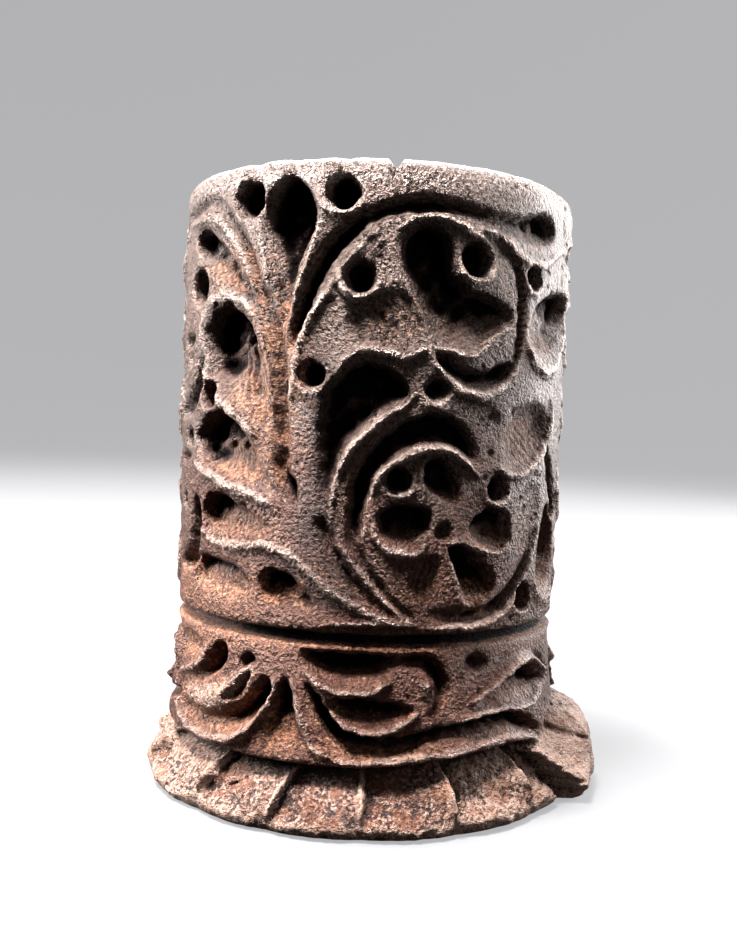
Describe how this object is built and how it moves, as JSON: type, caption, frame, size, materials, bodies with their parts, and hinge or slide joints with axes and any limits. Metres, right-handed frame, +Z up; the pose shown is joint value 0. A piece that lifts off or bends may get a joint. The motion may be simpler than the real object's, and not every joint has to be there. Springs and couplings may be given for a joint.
{
  "type": "stamping die",
  "caption": "Stout cast-bronze cylinder die with a leafy scroll cut deep round its side and a flared, petalled foot broken on one side.",
  "frame": {"origin": "centre of the flat underside, on the body's axis", "axes": "+Z up the body's axis, -Y towards the side with the round flower scroll, +X to that side's right"},
  "size_m": [0.0412, 0.039, 0.0521],
  "materials": {
    "bronze": "cast bronze under a dark grey-brown patina, black in the cuts and rusty brown on their lower slopes, with a rough foot"
  },
  "bodies": {
    "root": {"die": "bronze"}
  },
  "joints": []
}
